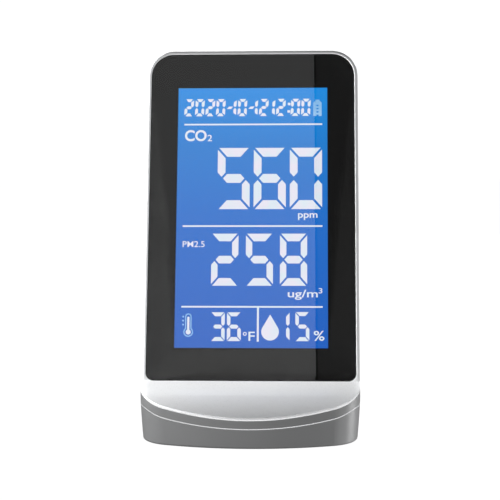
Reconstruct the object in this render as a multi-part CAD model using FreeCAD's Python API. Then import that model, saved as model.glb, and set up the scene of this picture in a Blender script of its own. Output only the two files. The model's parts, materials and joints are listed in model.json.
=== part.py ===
import FreeCAD, Part
import math
import os

from FreeCAD import Placement, Rotation, Vector

# Air quality monitor: a display slab that leans back on a hollow foot.
# Millimetres, +Z up, front towards -Y, origin at the centre of the resting face.

# ---- driving dimensions: outer shape ---------------------------------------------------------
LEAN = 15.0                     # display face, degrees back from upright
HALF_WIDTH = 40.0
PANEL_FOOT_Y = -14.7            # bottom edge of the display face
PANEL_FOOT_Z = 20.3
SHELL_HEIGHT = 126.4            # along the display face, from its bottom edge
SHELL_CORNER_R = 9.9
TOE_REACH = 23.7                # how far the chin stands in front of the display face
CHIN_SLOPE = 4.0                # degrees, where the chin's curve leaves the display face
CHIN_EDGE_Z = 11.6              # where that curve meets the front wall of the foot
DEPTH_LOW = 27.0                # slab depth at DEPTH_LOW_AT up the face
DEPTH_LOW_AT = 25.0
DEPTH_TOP = 21.0
HEEL_Y = 38.4                   # rearmost line of the foot
HEEL_Z = 15.3
HEEL_SLOPE = 22.0
HEEL_BLEND_R = 20.0
REAR_EDGE_R = 6.0
HEEL_EDGE_R = 4.0
RIM_EDGE_R = 0.8
UNDERSIDE_Z = 0.5               # the rubber feet reach down to zero
UNDERSIDE_EDGE_R = 0.8
TAPER_HEIGHT = 14.0             # the foot's wall leans in below this height
TAPER = 0.9
TAPER_HALFWAY = 0.42            # share of the taper at half that height
WALLS_UP = 10.0                 # the foot's plan outline reaches this far above the display's foot
FRONT_ARC_R = 92.0              # plan outline of the foot
FRONT_CORNER_R = 14.0
SIDE_ARC_R = 62.0
REAR_ARC_R = 160.0
REAR_CORNER_R = 12.0
WALL = 2.0

# ---- driving dimensions: partings ------------------------------------------------------------
SEAM_GAP = 0.3                  # shadow groove along each parting
SEAM_DEPTH = 0.5
CHIN_LIP = 0.6                  # the upper parting runs this far below the chin's edge
CHIN_INSIDE_Z = 8.3
LAP_STEP = 0.3                  # the band below the chin is this much thicker than the wall
LOWER_GROOVE_INSET = 1.0        # floor of the lower groove, inside the foot's plan outline
LOWER_SEAM_Z = 7.6              # at the toe
LOWER_SEAM_ANGLE = 30.0
LOWER_SEAM_LEVEL = 13.5
SIDE_SEAM_DEPTH = 12.0          # depth of the front shell on the slab's sides
SEAM_BEND_R = 14.0
SIDE_SWEEP_R = 12.0
FAR = 200.0                     # longer than the body in every direction

# ---- driving dimensions: display stack, depths behind the display face -----------------------
WINDOW_HALF = 38.75
WINDOW_HEIGHT = 125.0
WINDOW_THICK = 1.5
WINDOW_TOP_R = 8.7
WINDOW_FOOT_R = 3.0
WINDOW_GAP = 0.1
WINDOW_EDGE_R = 0.25
VIEW_HALF = 28.4                # the clear area of the display
VIEW_LOW = 12.2
VIEW_HIGH = 111.8
MASK_THICK = 0.1
TAPE_THICK = 0.2
FLANGE_THICK = 1.5
GASKET_THICK = 0.6
GLASS_THICK = 1.1
DIFFUSER_THICK = 0.3
GUIDE_THICK = 2.7
REFLECTOR_THICK = 0.2
BOARD_THICK = 1.6
LEDGE_HEIGHT = 2.5              # contact ledge of the rear glass
GLASS_HALF = 31.0
GLASS_LOW = 7.6
GLASS_HIGH = 116.0
OPENING_HALF = 29.3             # hole in the front shell behind the window
OPENING_LOW = 11.2
OPENING_HIGH = 112.5
TAPE_HOLE = (31.0, 9.8, 114.0)  # half width, low and high
TAPE_SETBACK = 0.8
GASKET_OUTLINE = (30.9, 10.3, 115.6)
BACKLIGHT_OUTLINE = (30.6, 8.8, 115.6)
HOLDER_OUTLINE = (32.8, 5.5, 118.3)
HOLDER_HOLLOW = (31.2, 7.4, 116.2)
HOLDER_CORNER_R = 1.5
LED_COUNT = 6
LED_PITCH = 9.5
LED_HALF = 1.5
LED_V = (8.0, 8.65)
LED_STRIP_HALF = 28.0
LED_STRIP_V = (7.45, 8.05)
RIBBON_HALF = 20.0
RIBBON_THICK = 0.2
RIBBON_BEND_R = 1.6
RIBBON_FOOT = 3.6               # lowest point of the ribbon's bend, up the display face
RIBBON_FRONT_END = 9.6
RIBBON_BACK_END = 11.0
RIBBON_PLAY = 0.3

MASK_W = -WINDOW_THICK
TAPE_W = MASK_W - MASK_THICK
FLANGE_W = TAPE_W - TAPE_THICK
GASKET_W = FLANGE_W - FLANGE_THICK
FRONT_GLASS_W = GASKET_W - GASKET_THICK
REAR_GLASS_W = FRONT_GLASS_W - GLASS_THICK
DIFFUSER_W = REAR_GLASS_W - GLASS_THICK
GUIDE_W = DIFFUSER_W - DIFFUSER_THICK
REFLECTOR_W = GUIDE_W - GUIDE_THICK
HOLDER_FLOOR_W = REFLECTOR_W - REFLECTOR_THICK
HOLDER_FLOOR = 0.6
BOARD_W = -10.2                 # front face of the main board
BOARD_BACK_W = BOARD_W - BOARD_THICK
BOARD_HALF = 37.0
BOARD_LOW = 8.2
BOARD_HIGH = 117.6
BOARD_CORNER_R = 1.5

# ---- driving dimensions: screws, bosses and rubber feet --------------------------------------
SCREW_R = 1.0
SCREW_HEAD_R = 1.9
SCREW_HEAD = 1.1
SCREW_HOLE_R = 1.3
COUNTERBORE_R = 2.4
COUNTERBORE_DEPTH = 2.4
BASE_SCREW_XY = [(-22, -28), (22, -28), (-22, 27), (22, 27)]
BASE_SCREW_LENGTH = 8.0
BOSS_R = 3.0
BOSS_FOOT_R = 4.0
BOSS_BORE = 7.0
BOSS_TOP_Z = 5.0
CHIN_BOSS_Z = 17.0
HEEL_BOSS_Z = 18.4
SHELL_SCREW_X = 26.0
SHELL_SCREW_V = 121.4
SHELL_SCREW_LENGTH = 7.0
SHELL_SEAT_W = -15.2            # under the heads of the two upper screws
SHELL_POST_W = -13.2
SHELL_POST_R = 2.3
SHELL_POST_BORE = 5.4
SHELL_TUBE_R = 3.1
SHELL_TUBE_TOP_W = -20.2
BOARD_POSTS = [(-35.3, 20), (35.3, 20), (-35.3, 104), (35.3, 104)]
BOARD_POST_R = 2.1
POST_BORE = 3.6
BOARD_SCREW_LENGTH = 5.0
POST_ROOT = 0.5                 # how far a post reaches into the wall it stands on
FOOT_XY = {"front_left": (-30, -21), "front_right": (30, -21), "rear_left": (-30, 22), "rear_right": (30, 22)}
FOOT_R = 4.4
FOOT_EDGE_R = 0.25
FOOT_PLAY = 0.15
FOOT_RECESS = 1.0

# ---- driving dimensions: vents in the back face ----------------------------------------------
VENT_LOW = 8.0
VENT_ROWS = 6
UPPER_VENT_LOW = 39.0
UPPER_VENT_ROWS = 4
VENT_PITCH = 3.2
VENT_SLOT = 1.6
VENT_INNER = 1.2
VENT_OUTER = 20.8
MESH_HALF = 23.0
MESH_MARGIN = 1.5
MESH_THICK = 0.25

# ---- driving dimensions: keys and their switches, heights up the back face -------------------
BUTTONS = {"power": 18.0, "set": 6.0, "up": -6.0, "down": -18.0}    # sideways place seen from the front
BUTTON_UP = 82.0
BUTTON_R = 3.7
BUTTON_EDGE_R = 0.45
BUTTON_GAP = 0.35
BUTTON_PROUD = 0.8
BUTTON_RIM = 1.0                # collar that keeps the key in its hole
BUTTON_RIM_THICK = 0.8
BUTTON_RIM_DROP = 0.3           # the collar's top below the inside of the wall
BUTTON_STEM_R = 1.4
SWITCH_W = -4.2                 # top of the switch housing, behind the back face
SWITCH_HEIGHT = 3.1
SWITCH_SIZE = 6.0
PLUNGER_R = 1.65
PLUNGER_PLAY = 0.1
PLUNGER_DEPTH = 1.0
PLUNGER_PROUD = 0.7
BUTTON_BOARD_THICK = 1.1
BUTTON_BOARD_HALF = 28.0
BUTTON_POST_X = 25.5
BUTTON_POST_R = 2.2
BUTTON_SCREW_LENGTH = 4.5

# ---- driving dimensions: dust sensor and its fan ---------------------------------------------
CASE_LOW = (-24, 12)
CASE_HIGH = (22, 48)
CASE_DEPTH = 9.6
CASE_WALL = 1.2
CASE_CORNER_R = 1.5
LID_THICK = 1.4
SENSOR_BOARD_THICK = 1.0
FAN_X = 9.0
FAN_V = 30.0
FAN_R = 8.4
FAN_HUB_R = 3.6
FAN_TOP_W = -20.4
FAN_BASE_W = -15.1
FAN_DISC_THICK = 0.6
FAN_BLADES = 11
FAN_BLADE_TILT = 28.0
FAN_BLADE_THICK = 0.7
FAN_BEARING_R = 4.2
FAN_PIN_R = 0.75
FAN_PIN_TOP_W = -20.7
FAN_CLEARANCE = 0.05
LASER_R = 2.0
FOAM_HALF = 9.5
FOAM_THICK = 0.6

# ---- driving dimensions: cell, power board and inlet -----------------------------------------
BATTERY_R = 9.2
BATTERY_EDGE_R = 0.8
BATTERY_HALF = 32.5
BATTERY_Y = 5.0
BATTERY_Z = 12.9
CRADLE_HALF = 35.0
CRADLE_HALF_DEPTH = 10.4
CRADLE_PLAY = 0.2
CRADLE_END_GAP = 0.7
TAB_HALF = 3.5
TAB_THICK = 0.3
TAB_LOW_Z = 5.0
TAB_HIGH_Z = 16.5
LEAD_R = 0.7
POWER_BOARD_HALF = 14.0
POWER_BOARD_Y = (19.0, 34.4)
POWER_BOARD_Z = 3.7
POWER_BOARD_THICK = 1.2
POWER_POST_X = 10.0
POWER_POST_Y = 21.5
POWER_POST_R = 2.2
POWER_POST_BORE = 1.5
POWER_SCREW_LENGTH = 2.6
USB_HALF = 4.47
USB_HALF_HEIGHT = 1.58
USB_SHEET = 0.3
USB_CLEARANCE = 0.5
USB_Z = 6.48
USB_BACK_Y = 30.6
USB_MOUTH_Y = 37.8
USB_TONGUE_HALF = 3.3
USB_TONGUE_THICK = 0.7
CABLE_R = 0.9
SENSOR_CABLE_R = 0.8

SIN_LEAN = math.sin(math.radians(LEAN))
COS_LEAN = math.cos(math.radians(LEAN))
TOE_Y = PANEL_FOOT_Y - TOE_REACH
FLOOR_TOP = UNDERSIDE_Z + WALL

parts = {}


# ---- small helpers ---------------------------------------------------------------------------
def box(low, high):
    low, high = Vector(*low), Vector(*high)
    size = high - low
    return Part.makeBox(size.x, size.y, size.z, low)


def rounded_box(low, high, radius):
    """Box whose four edges along its third axis are rounded."""
    block = box(low, high)
    upright = [edge for edge in block.Edges if abs(edge.tangentAt(edge.FirstParameter).z) > 0.9]
    return block.makeFillet(radius, upright)


def rod(radius, start, end):
    start, end = Vector(*start), Vector(*end)
    return Part.makeCylinder(radius, (end - start).Length, start, end - start)


def line(start, end):
    return Part.LineSegment(start, end).toShape()


def arc(start, middle, end):
    return Part.Arc(start, middle, end).toShape()


def direction(degrees):
    """Unit vector in the YZ plane, measured from +Y towards +Z."""
    return Vector(0, math.cos(math.radians(degrees)), math.sin(math.radians(degrees)))


def panel_point(v, w):
    """Point of the YZ plane, v up the display face and w out of it."""
    return Vector(0, PANEL_FOOT_Y + v * SIN_LEAN - w * COS_LEAN, PANEL_FOOT_Z + v * COS_LEAN + w * SIN_LEAN)


def meet(point_a, along_a, point_b, along_b):
    """Where two lines of the YZ plane cross."""
    gap = point_b - point_a
    steps = (gap.y * along_b.z - gap.z * along_b.y) / (along_a.y * along_b.z - along_a.z * along_b.y)
    return point_a + along_a * steps


def corner_arc(corner, towards_a, towards_b, radius):
    """Arc that rounds a corner between two directions, as its start, middle and end."""
    half = towards_a.getAngle(towards_b) / 2
    reach = radius / math.tan(half)
    bisector = (towards_a + towards_b).normalize()
    centre = corner + bisector * (radius / math.sin(half))
    return corner + towards_a * reach, centre - bisector * radius, corner + towards_b * reach


def circles_meet(centre_a, radius_a, centre_b, radius_b):
    """The crossing of two circles in plan that lies further to the right."""
    gap = centre_b - centre_a
    along = (gap.Length ** 2 + radius_a ** 2 - radius_b ** 2) / (2 * gap.Length)
    across = math.sqrt(radius_a ** 2 - along ** 2)
    step = Vector(gap).normalize()
    side = Vector(-step.y, step.x, 0)
    options = [centre_a + step * along + side * across, centre_a + step * along - side * across]
    return max(options, key=lambda point: point.x)


def extrude_sideways(wire):
    """Solid that runs through the whole body along X from an outline in the YZ plane."""
    face = Part.Face(wire)
    face.translate(Vector(-FAR / 2, 0, 0))
    return face.extrude(Vector(FAR, 0, 0))


# ---- frames of the display face and of the back face -----------------------------------------
TOP_BACK = panel_point(SHELL_HEIGHT, -DEPTH_TOP)
LOW_BACK = panel_point(DEPTH_LOW_AT, -DEPTH_LOW)
BACK_LEAN = math.degrees(math.atan2(TOP_BACK.y - LOW_BACK.y, TOP_BACK.z - LOW_BACK.z))
PANEL_FRAME = Placement(panel_point(0, 0), Rotation(Vector(1, 0, 0), 90 - LEAN))
BACK_TURN = Rotation(Vector(1, 0, 0), -(90 + BACK_LEAN)) * Rotation(Vector(0, 0, 1), 180)
BACK_FRAME = Placement(LOW_BACK, BACK_TURN)


def on_panel(shape):
    """Place a shape drawn as x, height up the display face, distance out of it."""
    placed = shape.copy()
    placed.Placement = PANEL_FRAME * placed.Placement
    return placed


def on_back(shape):
    """Place a shape drawn as x seen from behind, height up the back face, distance out of it."""
    placed = shape.copy()
    placed.Placement = BACK_FRAME * placed.Placement
    return placed


# ---- outer shape -----------------------------------------------------------------------------
def chin_curve(drop):
    """Arc of the chin from the toe back to the display face, lowered by drop."""
    start = panel_point(0, 0)
    toe = Vector(0, TOE_Y, CHIN_EDGE_Z)
    chord = toe - start
    inwards = direction(270 + CHIN_SLOPE)
    radius = chord.dot(chord) / (2 * chord.dot(inwards))
    centre = start + inwards * radius
    middle = centre + ((start - centre) + (toe - centre)).normalize() * radius
    lower = Vector(0, 0, -drop)
    return toe + lower, middle + lower, start + lower


def side_profile(inset):
    """Closed YZ outline of the whole body, moved inwards by inset."""
    chin_top = panel_point(0, 0)
    top_front = panel_point(SHELL_HEIGHT, 0)
    up_back = direction(90 - BACK_LEAN)
    ramp = direction(-HEEL_SLOPE)
    heel = Vector(0, HEEL_Y, HEEL_Z)
    flare = corner_arc(meet(heel, ramp, LOW_BACK, up_back), up_back, ramp, HEEL_BLEND_R)
    ramp_end = heel + ramp * HEEL_BLEND_R
    chin = chin_curve(0)
    floor_back = Vector(0, ramp_end.y, UNDERSIDE_Z)
    floor_front = Vector(0, TOE_Y, UNDERSIDE_Z)
    wire = Part.Wire([line(chin_top, top_front), line(top_front, TOP_BACK), line(TOP_BACK, flare[0]),
                      arc(*flare), line(flare[2], ramp_end), line(ramp_end, floor_back),
                      line(floor_back, floor_front), line(floor_front, chin[0]), arc(*chin)])
    return wire.makeOffset2D(-inset) if inset else wire


def mirrored(point):
    return Vector(-point.x, point.y, point.z)


def foot_outline(inset, z):
    """Plan outline of the foot: bowed front, softly bowed sides, gently bowed rear."""
    half_width = HALF_WIDTH - inset
    front_centre = Vector(0, TOE_Y + FRONT_ARC_R, z)
    side_centre = Vector(HALF_WIDTH - SIDE_ARC_R, PANEL_FOOT_Y, z)
    corner_centre = circles_meet(front_centre, FRONT_ARC_R - FRONT_CORNER_R,
                                 side_centre, SIDE_ARC_R - FRONT_CORNER_R)
    to_front = (corner_centre - front_centre).normalize()
    to_side = (corner_centre - side_centre).normalize()
    toe = Vector(0, TOE_Y + inset, z)
    front_end = front_centre + to_front * (FRONT_ARC_R - inset)
    corner_middle = corner_centre + (to_front + to_side).normalize() * (FRONT_CORNER_R - inset)
    side_start = side_centre + to_side * (SIDE_ARC_R - inset)
    side_middle = side_centre + (to_side + Vector(1, 0, 0)).normalize() * (SIDE_ARC_R - inset)
    side_end = Vector(half_width, PANEL_FOOT_Y, z)
    rear_centre = Vector(0, HEEL_Y - REAR_ARC_R, z)
    reach = REAR_ARC_R - REAR_CORNER_R
    heel_x = HALF_WIDTH - REAR_CORNER_R
    heel_centre = Vector(heel_x, rear_centre.y + math.sqrt(reach ** 2 - heel_x ** 2), z)
    to_rear = (heel_centre - rear_centre).normalize()
    heel_start = Vector(half_width, heel_centre.y, z)
    heel_middle = heel_centre + (to_rear + Vector(1, 0, 0)).normalize() * (REAR_CORNER_R - inset)
    heel_end = rear_centre + to_rear * (REAR_ARC_R - inset)
    rear = Vector(0, HEEL_Y - inset, z)
    right = [arc(front_end, corner_middle, side_start), arc(side_start, side_middle, side_end),
             line(side_end, heel_start), arc(heel_start, heel_middle, heel_end)]
    left = [arc(mirrored(heel_end), mirrored(heel_middle), mirrored(heel_start)),
            line(mirrored(heel_start), mirrored(side_end)),
            arc(mirrored(side_end), mirrored(side_middle), mirrored(side_start)),
            arc(mirrored(side_start), mirrored(corner_middle), mirrored(front_end))]
    front = arc(mirrored(front_end), toe, front_end)
    back = arc(heel_end, rear, mirrored(heel_end))
    return Part.Wire([front] + right + [back] + left)


def edge_near(shape, point):
    """The edge whose middle is closest to a point."""
    def distance(edge):
        middle = edge.valueAt((edge.FirstParameter + edge.LastParameter) / 2)
        return (middle - point).Length
    return min(shape.Edges, key=distance)


def round_end(shape, centre, radius):
    """Round the circular end edge of a turned shape whose centre is nearest to a point."""
    rims = [edge for edge in shape.Edges if len(edge.Vertexes) == 1]
    return shape.makeFillet(radius, [min(rims, key=lambda rim: (rim.CenterOfMass - Vector(centre)).Length)])


def body_envelope(inset):
    """The whole body as one solid, moved inwards by inset, with its outer edges rounded."""
    half_width, height = HALF_WIDTH - inset, SHELL_HEIGHT - inset
    outline = box((-half_width, -FAR, -FAR), (half_width, height, FAR))
    corners = [edge for edge in outline.Edges if abs(edge.tangentAt(0).z) > 0.9 and edge.CenterOfMass.y > 0]
    front_outline = on_panel(outline.makeFillet(SHELL_CORNER_R - inset, corners))
    slab = extrude_sideways(side_profile(inset)).common(front_outline).Solids[0]
    slab = slab.makeFillet(REAR_EDGE_R - inset, [edge_near(slab, panel_point(height, inset - DEPTH_TOP))])
    slab = slab.makeFillet(RIM_EDGE_R, [edge_near(slab, panel_point(height, -inset))])
    level = foot_outline(inset, TAPER_HEIGHT)
    halfway = foot_outline(inset + TAPER * TAPER_HALFWAY, TAPER_HEIGHT / 2)
    sections = [foot_outline(inset + TAPER, 0), halfway, level]
    upper_z = PANEL_FOOT_Z + WALLS_UP
    walls = Part.makeLoft(sections, True, False)
    walls = walls.fuse(Part.Face(level).extrude(Vector(0, 0, upper_z - TAPER_HEIGHT)))
    walls = walls.fuse(box((-half_width, -FAR, upper_z), (half_width, FAR, FAR)))
    body = slab.common(walls).removeSplitter().Solids[0]
    body = body.makeFillet(HEEL_EDGE_R - inset, [edge_near(body, Vector(0, HEEL_Y - inset, HEEL_Z))])
    toe_foot = Vector(0, TOE_Y + TAPER + inset, UNDERSIDE_Z + inset)
    return body.makeFillet(UNDERSIDE_EDGE_R, [edge_near(body, toe_foot)])


def region(edges, corners):
    """Solid that closes a run of edges with straight lines through the given corners."""
    return extrude_sideways(Part.Wire(edges + [line(a, b) for a, b in zip(corners, corners[1:])]))


def front_region():
    """Everything above the upper parting, which follows the chin and sweeps up the slab's sides."""
    toe, middle, start = chin_curve(CHIN_LIP)
    ahead = toe + (toe - middle).normalize() * FAR
    up_panel = direction(90 - LEAN)
    corner = meet(start, direction(0), panel_point(0, -SIDE_SEAM_DEPTH), up_panel)
    sweep = corner_arc(corner, direction(180), up_panel, SIDE_SWEEP_R)
    top = sweep[2] + up_panel * FAR
    edges = [line(ahead, toe), arc(toe, middle, start), line(start, sweep[0]), arc(*sweep),
             line(sweep[2], top)]
    return region(edges, [top, Vector(0, -2 * FAR, FAR), ahead])


def chin_inside():
    """The chin behind the foot's front wall, so that the whole chin stays with the front shell."""
    outline = foot_outline(WALL + LAP_STEP, CHIN_INSIDE_Z)
    block = Part.Face(outline).extrude(Vector(0, 0, PANEL_FOOT_Z - CHIN_INSIDE_Z))
    return block.common(box((-FAR, -FAR, 0), (FAR, PANEL_FOOT_Y + 1, FAR)))


def base_region():
    """Everything below the lower parting, which rises back from the toe and then levels off."""
    rise = direction(LOWER_SEAM_ANGLE)
    toe = Vector(0, TOE_Y, LOWER_SEAM_Z)
    corner = meet(toe, rise, Vector(0, 0, LOWER_SEAM_LEVEL), direction(0))
    bend = corner_arc(corner, rise * -1, direction(0), SEAM_BEND_R)
    ahead = toe - rise * FAR
    rear = Vector(0, FAR, LOWER_SEAM_LEVEL)
    edges = [line(ahead, bend[0]), arc(*bend), line(bend[2], rear)]
    return region(edges, [rear, Vector(0, FAR, -FAR), ahead])


# ---- fasteners -------------------------------------------------------------------------------
def screw(head_at, inwards, shank):
    """Pan-head screw with a cross recess; head_at is under the head, inwards points along the shank."""
    head_at, inwards = Vector(*head_at), Vector(*inwards)
    head = Part.makeCylinder(SCREW_HEAD_R, SCREW_HEAD, head_at, inwards * -1)
    head = round_end(head, head_at - inwards * SCREW_HEAD, SCREW_HEAD / 3)
    body = head.fuse(Part.makeCylinder(SCREW_R, shank, head_at, inwards))
    slot_long, slot_wide, slot_deep = SCREW_HEAD_R * 1.2, SCREW_HEAD_R * 0.3, SCREW_HEAD * 0.6
    turn = Rotation(Vector(0, 0, 1), inwards * -1)
    for size in ((slot_long, slot_wide), (slot_wide, slot_long)):
        along, across = size[0] / 2, size[1] / 2
        slot = box((-along, -across, SCREW_HEAD - slot_deep), (along, across, SCREW_HEAD * 2))
        slot.Placement = Placement(head_at, turn)
        body = body.cut(slot)
    return body


def base_screws():
    under_head = UNDERSIDE_Z + COUNTERBORE_DEPTH
    return [screw((x, y, under_head), (0, 0, 1), BASE_SCREW_LENGTH) for x, y in BASE_SCREW_XY]


def shell_screws():
    return [on_panel(screw((x, SHELL_SCREW_V, SHELL_SEAT_W), (0, 0, 1), SHELL_SCREW_LENGTH))
            for x in (-SHELL_SCREW_X, SHELL_SCREW_X)]


def board_screws():
    """Small screws of the main board, the button board and the power board."""
    screws = [on_panel(screw((x, v, BOARD_BACK_W), (0, 0, 1), BOARD_SCREW_LENGTH)) for x, v in BOARD_POSTS]
    board_low = SWITCH_W - SWITCH_HEIGHT - BUTTON_BOARD_THICK
    screws += [on_back(screw((x, BUTTON_UP, board_low), (0, 0, 1), BUTTON_SCREW_LENGTH))
               for x in (-BUTTON_POST_X, BUTTON_POST_X)]
    board_top = POWER_BOARD_Z + POWER_BOARD_THICK
    screws += [screw((x, POWER_POST_Y, board_top), (0, 0, -1), POWER_SCREW_LENGTH)
               for x in (-POWER_POST_X, POWER_POST_X)]
    return screws


# ---- the three shells ------------------------------------------------------------------------
def window_blank(gap, w_low, w_high):
    """Plate with the outline of the display window, grown sideways by gap."""
    blank = box((-WINDOW_HALF - gap, -gap, w_low), (WINDOW_HALF + gap, WINDOW_HEIGHT + gap, w_high))
    upright = [edge for edge in blank.Edges if abs(edge.tangentAt(0).z) > 0.9]
    top = [edge for edge in upright if edge.CenterOfMass.y > 0.5 * WINDOW_HEIGHT]
    blank = blank.makeFillet(WINDOW_TOP_R + gap, top)
    foot = [edge for edge in blank.Edges if abs(edge.tangentAt(edge.FirstParameter).z) > 0.9
            and edge.CenterOfMass.y < 0.5 * WINDOW_HEIGHT]
    return blank.makeFillet(WINDOW_FOOT_R + gap, foot)


def cavity():
    """The hollow inside the shells, with solid flange material left behind the window."""
    hollow = body_envelope(WALL)
    return hollow.cut(on_panel(box((-FAR, -WALL, GASKET_W), (FAR, FAR, FAR))))


def post(centre, low, high, radius, bore_depth):
    """Round boss with a screw bore in its lower end."""
    x, y = centre
    return rod(radius, (x, y, low), (x, y, high)).cut(rod(SCREW_R, (x, y, low), (x, y, low + bore_depth)))


def make_front_shell(wall, outer, region_in_front):
    shell = wall.common(region_in_front)
    shell = shell.cut(on_panel(window_blank(WINDOW_GAP, FLANGE_W, 1)))
    opening = box((-OPENING_HALF, OPENING_LOW, GASKET_W - 1), (OPENING_HALF, OPENING_HIGH, 0))
    shell = shell.cut(on_panel(opening))
    for x, v in BOARD_POSTS:
        shell = shell.fuse(on_panel(post((x, v), BOARD_W, GASKET_W + POST_ROOT, BOARD_POST_R, POST_BORE)))
    for x in (-SHELL_SCREW_X, SHELL_SCREW_X):
        high = GASKET_W + POST_ROOT
        upper_post = post((x, SHELL_SCREW_V), SHELL_POST_W, high, SHELL_POST_R, SHELL_POST_BORE)
        shell = shell.fuse(on_panel(upper_post))
    for centre in BASE_SCREW_XY[:2]:
        shell = shell.fuse(post(centre, BOSS_TOP_Z, CHIN_BOSS_Z, BOSS_R, BOSS_BORE).common(outer))
    return shell.removeSplitter()


def vent_slots():
    rows = [VENT_LOW + VENT_PITCH * row for row in range(VENT_ROWS)]
    rows += [UPPER_VENT_LOW + VENT_PITCH * row for row in range(UPPER_VENT_ROWS)]
    slots = []
    for row in rows:
        for side in (-1, 1):
            ends = sorted((side * VENT_INNER, side * VENT_OUTER))
            slot = rounded_box((ends[0], row, -WALL - 1), (ends[1], row + VENT_SLOT, 1), VENT_SLOT * 0.45)
            slots.append(on_back(slot))
    return slots


def make_rear_shell(wall, region_in_front, region_below, groove):
    shell = wall.cut(region_in_front).cut(region_below).cut(groove)
    for centre in BASE_SCREW_XY[2:]:
        shell = shell.fuse(post(centre, BOSS_TOP_Z, HEEL_BOSS_Z, BOSS_R, BOSS_BORE))
    for x in (-SHELL_SCREW_X, SHELL_SCREW_X):
        tube = rod(SHELL_TUBE_R, (x, SHELL_SCREW_V, SHELL_POST_W), (x, SHELL_SCREW_V, SHELL_TUBE_TOP_W))
        shell = shell.fuse(on_panel(tube))
        shell = shell.cut(on_panel(rod(SCREW_HOLE_R, (x, SHELL_SCREW_V, 0), (x, SHELL_SCREW_V, -FAR))))
        seat = (x, SHELL_SCREW_V, SHELL_SEAT_W)
        shell = shell.cut(on_panel(rod(COUNTERBORE_R, seat, (x, SHELL_SCREW_V, -FAR))))
    for x in (-BUTTON_POST_X, BUTTON_POST_X):
        low, high = SWITCH_W - SWITCH_HEIGHT, POST_ROOT - WALL
        shell = shell.fuse(on_back(post((x, BUTTON_UP), low, high, BUTTON_POST_R, POST_BORE)))
    for x in BUTTONS.values():
        hole = rod(BUTTON_R + BUTTON_GAP, (-x, BUTTON_UP, -WALL - 1), (-x, BUTTON_UP, 1))
        shell = shell.cut(on_back(hole))
    for slot in vent_slots():
        shell = shell.cut(slot)
    return shell


def stadium(half_width, half_height, y_low, y_high, z):
    """Round-ended bar along Y, wider than it is high."""
    flat = half_width - half_height
    bar = box((-flat, y_low, z - half_height), (flat, y_high, z + half_height))
    for x in (-flat, flat):
        bar = bar.fuse(rod(half_height, (x, y_low, z), (x, y_high, z)))
    return bar.removeSplitter()


def make_base_tub(wall, region_below, groove):
    tub = wall.common(region_below).cut(groove)
    for x, y in BASE_SCREW_XY:
        tub = tub.fuse(rod(BOSS_FOOT_R, (x, y, FLOOR_TOP - POST_ROOT), (x, y, BOSS_TOP_Z)))
        tub = tub.cut(rod(SCREW_HOLE_R, (x, y, -1), (x, y, BOSS_TOP_Z)))
        tub = tub.cut(rod(COUNTERBORE_R, (x, y, -1), (x, y, UNDERSIDE_Z + COUNTERBORE_DEPTH)))
    for x, y in FOOT_XY.values():
        tub = tub.cut(rod(FOOT_R + FOOT_PLAY, (x, y, -1), (x, y, UNDERSIDE_Z + FOOT_RECESS)))
    for x in (-POWER_POST_X, POWER_POST_X):
        top = (x, POWER_POST_Y, POWER_BOARD_Z)
        tub = tub.fuse(rod(POWER_POST_R, (x, POWER_POST_Y, FLOOR_TOP - POST_ROOT), top))
        tub = tub.cut(rod(SCREW_R, (x, POWER_POST_Y, POWER_BOARD_Z - POWER_POST_BORE), top))
    half, half_height = USB_HALF + USB_CLEARANCE, USB_HALF_HEIGHT + USB_CLEARANCE
    return tub.cut(stadium(half, half_height, HEEL_Y - 3 * WALL, HEEL_Y + 1, USB_Z))


def make_shells():
    outer = body_envelope(0)
    hollow = cavity()
    wall = outer.cut(hollow)
    skin = outer.cut(body_envelope(SEAM_DEPTH))
    front, base = front_region(), base_region()
    lowered = front.copy()
    lowered.translate(Vector(0, SEAM_GAP, -SEAM_GAP * 0.9))
    upper_groove = lowered.common(skin).cut(front)
    sunk = base.copy()
    sunk.translate(Vector(0, 0, -SEAM_GAP * 1.1))
    groove_core = Part.Face(foot_outline(LOWER_GROOVE_INSET, 0)).extrude(Vector(0, 0, PANEL_FOOT_Z))
    lower_groove = base.cut(sunk).cut(groove_core)
    front = front.fuse(chin_inside())
    parts["front_shell"] = make_front_shell(wall, outer, front)
    parts["rear_shell"] = make_rear_shell(wall, front, base, upper_groove)
    parts["base_tub"] = make_base_tub(wall, base, lower_groove)


# ---- display window and display stack --------------------------------------------------------
def plate(outline, w_front, thickness):
    """Flat rectangle; its outline is given as half width, low and high."""
    half, low, high = outline
    return box((-half, low, w_front - thickness), (half, high, w_front))


def frame_plate(outline, opening, w_front, thickness):
    return plate(outline, w_front, thickness).cut(plate(opening, w_front + thickness, 3 * thickness))


def make_window():
    window = window_blank(0, MASK_W, 0)
    front_rim = [edge for edge in window.Edges if abs(edge.BoundBox.ZMin) < 1e-6]
    parts["display_window"] = on_panel(window.makeFillet(WINDOW_EDGE_R, front_rim))
    view = plate((VIEW_HALF, VIEW_LOW, VIEW_HIGH), 0, 3 * WINDOW_THICK)
    parts["window_mask"] = on_panel(window_blank(0, TAPE_W, MASK_W).cut(view))
    tape_hole = plate(TAPE_HOLE, 0, 3 * WINDOW_THICK)
    parts["window_tape"] = on_panel(window_blank(-TAPE_SETBACK, FLANGE_W, TAPE_W).cut(tape_hole))


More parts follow.
